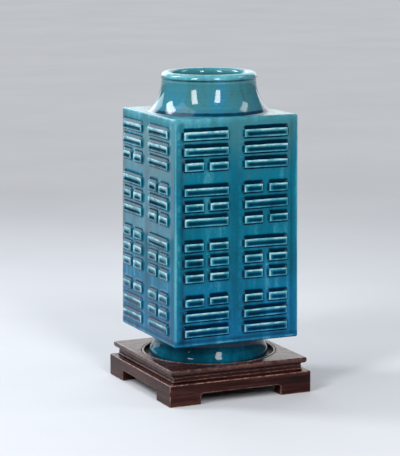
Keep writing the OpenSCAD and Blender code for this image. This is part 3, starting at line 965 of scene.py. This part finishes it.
def glaze_on_bars(tree, place, depth):
    """Draws the glaze off the rims of the bars and gathers it in their hollows and round their feet.
    On the rims it also paints highlights, and round the feet shade.
    """
    waver = 0.0
    for repeats, reach in WAVERS:
        swing = calc(tree, "SUBTRACT", noise(tree, place, repeats, 2.0), 0.5)
        waver = calc(tree, "MULTIPLY_ADD", swing, reach, waver)

    def measured(name):
        return put(tree, "ShaderNodeAttribute", attribute_name=name).outputs["Fac"]

    def wavering(name):
        return calc(tree, "ADD", measured(name), waver)

    def most(first, *others):
        for other in others:
            first = calc(tree, "MAXIMUM", first, other)
        return first

    def times(first, *others):
        for other in others:
            first = calc(tree, "MULTIPLY", first, other)
        return first

    def fades(measure, near_by, far_off, strength=1.0):
        """Full strength up to one distance in millimetres, nothing beyond another."""
        return smooth_step(tree, measure, near_by * MM, far_off * MM, strength, 0.0)

    def grows(measure, near_by, far_off):
        """Nothing up to one distance in millimetres, full strength beyond another."""
        return smooth_step(tree, measure, near_by * MM, far_off * MM)

    up_bar = measured("up_bar")
    off_rim = wavering("off_rim")
    edges = {
        "top": calc(tree, "MULTIPLY_ADD", calc(tree, "SUBTRACT", 0.5, up_bar), bar_front_height, waver),
        "foot": calc(tree, "MULTIPLY_ADD", calc(tree, "ADD", 0.5, up_bar), bar_front_height, waver),
        "left": wavering("from_left"),
        "right": wavering("from_right"),
    }
    across = put(tree, "ShaderNodeSeparateXYZ", {"Vector": place}).outputs["X"]
    # Painted reflection on the left side's bars: broader pale tops and weaker pools.
    left_side_sheen = smooth_step(tree, across, left_sheen_out - left_sheen_fade, left_sheen_out, 1.0, 0.0)
    crest_stretch = calc(tree, "MULTIPLY_ADD", left_side_sheen, left_sheen_crest, 1.0)
    crest_edges = {**edges, "top": calc(tree, "DIVIDE", edges["top"], crest_stretch)}
    on_bar = fades(off_rim, -0.5, 0.2)
    crest = most(*[fades(crest_edges[edge], *reach) for edge, reach in CREST.items()])
    flank = most(*[fades(edges[edge], *reach) for edge, reach in FLANK.items()])
    hollow = times(*[grows(edges[edge], *reach) for edge, reach in HOLLOW.items()])
    patchy = smooth_step(tree, noise(tree, place, patch_repeats, 3.0), 0.34, 0.68, 0.6, 1.45)

    # Thick glaze and painted shade at a bar's ends, strongest half way up them; glaze drawn off beyond.
    beside = smooth_step(tree, calc(tree, "ABSOLUTE", up_bar), 0.3, 0.5, 1.0, 0.25)
    at_left = times(fades(edges["left"], 0.0, 0.6), beside)
    at_right = times(fades(edges["right"], 0.0, 0.6), beside)
    # Above the bar: pooled glaze and painted shade. Under it: a line of painted shade.
    gathered_and_shade = most(fades(wavering("off_pool"), *POOL_AND_SHADE), fades(wavering("off_foot_line"), *FOOT_SHADE_LINE),
                    times(at_left, fades(off_rim, *LEFT_END)), times(at_right, fades(off_rim, *RIGHT_END)))
    pool_share = calc(tree, "MULTIPLY_ADD", left_side_sheen, -left_sheen_pool, 1.0)
    gathered_and_shade = times(gathered_and_shade, grows(off_rim, -0.3, 0.4), pool_share)
    drawn = times(at_left, grows(off_rim, 2.0, 3.6), fades(off_rim, 5.0, 7.0, drawn_at_left))

    # Pale rims: thin glaze and painted highlights. Dark hollows: thick glaze.
    depth = calc(tree, "MULTIPLY_ADD", times(crest, on_bar, patchy), -crest_thinning_and_glint, depth)
    depth = calc(tree, "MULTIPLY_ADD", times(flank, on_bar, patchy), -flank_thinning_and_highlight, depth)
    depth = calc(tree, "MULTIPLY_ADD", times(hollow, on_bar), hollow_thickening, depth)
    return calc(tree, "ADD", depth, calc(tree, "SUBTRACT", gathered_and_shade, drawn))


body_glaze = glaze("glaze_body", body_shine, 0.0, body_milky_height, body_blue_height, glaze_on_bars)
body_mesh = grown("trigram_relief", body_skin, trigram_relief(), {
    "Bars": bar_places,
    "Bar Height": bar_front_height,
    "Relief": bar_relief,
    "Slope": bar_slope,
    "Hollow": bar_hollow,
    "Pool": pool_height,
    "Foot Line": foot_line_height,
    "Uneven": wall_swell,
    "Seed": hand_seed,
    "Glaze": body_glaze,
})
bpy.data.objects.remove(bar_places)
body_mesh.shade_smooth()
piece("glazed_body", body_mesh, body_glaze, "vase", "glaze", "base_slab", "shoulder_slab",
      *[f"{side}_wall" for side in SIDE_TURN], *[f"{side}_trigrams" for side in SIDE_TURN])


# Neck of the vase. A short collar thrown on the wheel and luted on the shoulder: it spreads towards the
# shoulder in one curve and ends in a thick rolled lip. Fine throwing lines show under its glaze.

neck_height = 38.0 * MM
neck_radius = 45.5 * MM
neck_wall = 7.0 * MM
neck_foot_radius = body_half - 5.0 * MM
lip_radius = 5.0 * MM
lip_proud = 0.9 * MM
neck_fillet_radius = 3.0 * MM
neck_shine = 0.42
neck_throwing = 0.18
neck_milky_height = 0.29
neck_blue_height = 0.22

flare_top = neck_height - lip_radius - lip_proud
flare_out = neck_foot_radius - neck_radius
flare_radius = (flare_top ** 2 + flare_out ** 2) / (2 * flare_out)
flare_centre = (neck_radius + flare_radius, body_top + flare_top)
lip_centre = (neck_radius + lip_proud - lip_radius, body_top + neck_height - lip_radius)
# The fillet touches the flare's arc from outside and the flat of the shoulder.
fillet_height = body_top + neck_fillet_radius
fillet_reach = math.sqrt((flare_radius - neck_fillet_radius) ** 2 - (flare_centre[1] - fillet_height) ** 2)
neck_fillet_centre = (flare_centre[0] - fillet_reach, fillet_height)
fillet_end = math.degrees(math.atan2(flare_centre[1] - fillet_height, fillet_reach))
lip_inner_end = math.degrees(math.acos((lip_centre[0] - neck_radius + neck_wall) / lip_radius))
bore_radius = flare_radius + neck_wall
bore_start = math.degrees(math.asin((flare_top - neck_height + 2 * lip_radius) / bore_radius))
bore_end = math.degrees(math.asin(flare_top / bore_radius))
# Depth of glaze and painted shade up the outside of the neck, by millimetres above the shoulder.
# The dark bands at the neck's foot and just under the lip are pooled glaze, darkened further as painted
# shade.
NECK_DEPTHS = ((0, 0.55), (0.8, 0.85), (2.2, 0.82), (4, 0.56), (9, 0.49), (20, 0.53), (29.2, 0.53),
               (30.2, 0.32), (31.0, 0.5), (31.7, 0.8), (33, 0.6))
neck_outside = [
    *arc(neck_fillet_centre, neck_fillet_radius, 270, 180 + fillet_end, 8),
    *arc(flare_centre, flare_radius, 180 + fillet_end, 180, 60)[1:],
    *arc((neck_radius, lip_centre[1]), lip_proud, -90, 0, 4)[1:],
]
depth_heights, depths_there = zip(*NECK_DEPTHS)
neck_section = [
    *[(r, z, np.interp((z - body_top) / MM, depth_heights, depths_there)) for r, z in neck_outside],
    *shaded(arc(lip_centre, lip_radius, 8, 100, 12), 0.32, 0.26),
    *shaded(arc(lip_centre, lip_radius, 110, 180 + lip_inner_end, 10), 0.36, 0.58),
    *shaded(arc(flare_centre, bore_radius, 180 + bore_start, 180 + bore_end, 12), 0.5, 0.6),
]
neck_glaze = glaze("glaze_neck", neck_shine, neck_throwing, neck_milky_height, neck_blue_height)
piece("glazed_neck", thrown(neck_section, thrown_columns), neck_glaze, "vase", "glaze", "neck")


# Studio, which isn't part of the object: a pale floor, with two tall soft boxes in front, two smaller ones
# at the sides, a broad one behind and one above. At the back left stand a small card, which the flats of
# the left side mirror, and a panel, which the slopes above its bars mirror.

camera_azimuth = -24.92
camera_elevation = 9.39
camera_distance = 1.9405
camera_lens = 157.26
camera_reach = 60
# The middle of the body lies this far right of the picture's middle and above it.
frame_right = 8.46 * MM
frame_up = 7.04 * MM
floor_half = 40.0
floor_lit_radius = 0.35
floor_far_radius = 1.3
floor_level = 0.85
FLOOR_PALE = (209, 212, 217)
FLOOR_SHADE = (203, 206, 212)
WORLD_GREY = (0.1, 0.102, 0.106)
PANEL_COOL = (0.82, 0.95, 1.06)
LAMP_WHITE = (1, 1, 1)
# Degrees round from the camera and up, metres away, metres wide and tall, watts, colour.
LAMPS = {
    "front_left_box": (-36, 33, 2.0, 0.4, 1.1, 22.5, LAMP_WHITE),
    "front_right_box": (22, 32, 2.0, 0.36, 1.0, 20, LAMP_WHITE),
    "left_box": (-104, 41, 1.8, 0.46, 0.64, 13, LAMP_WHITE),
    "right_box": (96, 42, 1.8, 0.38, 0.55, 4, LAMP_WHITE),
    "left_card": (-130, -5, 0.9, 0.45, 0.15, 0.26, LAMP_WHITE),
    "back_left_panel": (-148, 21, 2.2, 1.6, 0.72, 11, PANEL_COOL),
    "back_box": (180, 24, 3.4, 4.2, 2.7, 54, LAMP_WHITE),
    "top_box": (-92, 58, 2.2, 1.6, 1.2, 11, LAMP_WHITE),
}


def direction(azimuth, elevation):
    """From the object towards a place round it: azimuth 0 is the front, 90 its right side."""
    a, e = math.radians(azimuth), math.radians(elevation)
    return Vector((math.sin(a) * math.cos(e), -math.cos(a) * math.cos(e), math.sin(e)))


floor_mesh = bpy.data.meshes.new("floor")
floor_corners = [(x * floor_half, y * floor_half, 0) for x, y in ((-1, -1), (1, -1), (1, 1), (-1, 1))]
floor_mesh.from_pydata(floor_corners, [], [(0, 1, 2, 3)])
floor_paint = bpy.data.materials.new("pale_floor")
floor_paint.use_nodes = True
tree = floor_paint.node_tree
paint = tree.nodes["Principled BSDF"]
paint.inputs["Roughness"].default_value = 0.85
paint.inputs["Specular IOR Level"].default_value = 0.1
place = put(tree, "ShaderNodeTexCoord").outputs["Object"]
tone = colour_ramp(tree, noise(tree, place, 3.0, 4.0, 0.6), [(0.3, FLOOR_SHADE), (0.7, FLOOR_PALE)])
tree.links.new(tone, paint.inputs["Base Color"])
# Far from the vase, where the lamps no longer reach, the floor shows its own pale colour.
ray = put(tree, "ShaderNodeLightPath").outputs
seen = calc(tree, "MAXIMUM", ray["Is Camera Ray"],
            calc(tree, "MAXIMUM", ray["Is Glossy Ray"], ray["Is Transmission Ray"]))
reach = put(tree, "ShaderNodeVectorMath", {0: place}, operation="LENGTH").outputs["Value"]
far = calc(tree, "MULTIPLY", seen, smooth_step(tree, reach, floor_lit_radius, floor_far_radius))
glow = put(tree, "ShaderNodeEmission", {"Color": tone, "Strength": floor_level}).outputs[0]
both = put(tree, "ShaderNodeMixShader", {0: far, 1: paint.outputs[0], 2: glow}).outputs[0]
tree.links.new(both, tree.nodes["Material Output"].inputs["Surface"])
floor_mesh.materials.append(floor_paint)
floor = bpy.data.objects.new("floor", floor_mesh)
bpy.context.scene.collection.objects.link(floor)

world = bpy.data.worlds.new("studio")
world.use_nodes = True
world.node_tree.nodes["Background"].inputs["Color"].default_value = (*WORLD_GREY, 1.0)
bpy.context.scene.world = world

look_at = Vector((0, 0, body_middle))
for name, (round_by, elevation, distance, width, height, watts, colour) in LAMPS.items():
    lamp = bpy.data.lights.new(name, "AREA")
    lamp.shape = "RECTANGLE"
    lamp.size, lamp.size_y = width, height
    lamp.energy = watts
    lamp.color = colour
    box = bpy.data.objects.new(name, lamp)
    box.location = look_at + direction(camera_azimuth + round_by, elevation) * distance
    box.rotation_euler = (look_at - box.location).to_track_quat("-Z", "Y").to_euler()
    box.visible_camera = False
    bpy.context.scene.collection.objects.link(box)

camera = bpy.data.objects.new("camera", bpy.data.cameras.new("camera"))
camera.data.lens = camera_lens
towards = direction(camera_azimuth, camera_elevation)
right = Vector((math.cos(math.radians(camera_azimuth)), math.sin(math.radians(camera_azimuth)), 0))
up = towards.cross(right)
camera.location = look_at + towards * camera_distance
aim = look_at - right * frame_right - up * frame_up
camera.rotation_euler = (aim - camera.location).to_track_quat("-Z", "Y").to_euler()
camera.data.clip_end = camera_reach
bpy.context.scene.collection.objects.link(camera)
bpy.context.scene.camera = camera
bpy.context.scene.view_settings.view_transform = "Standard"
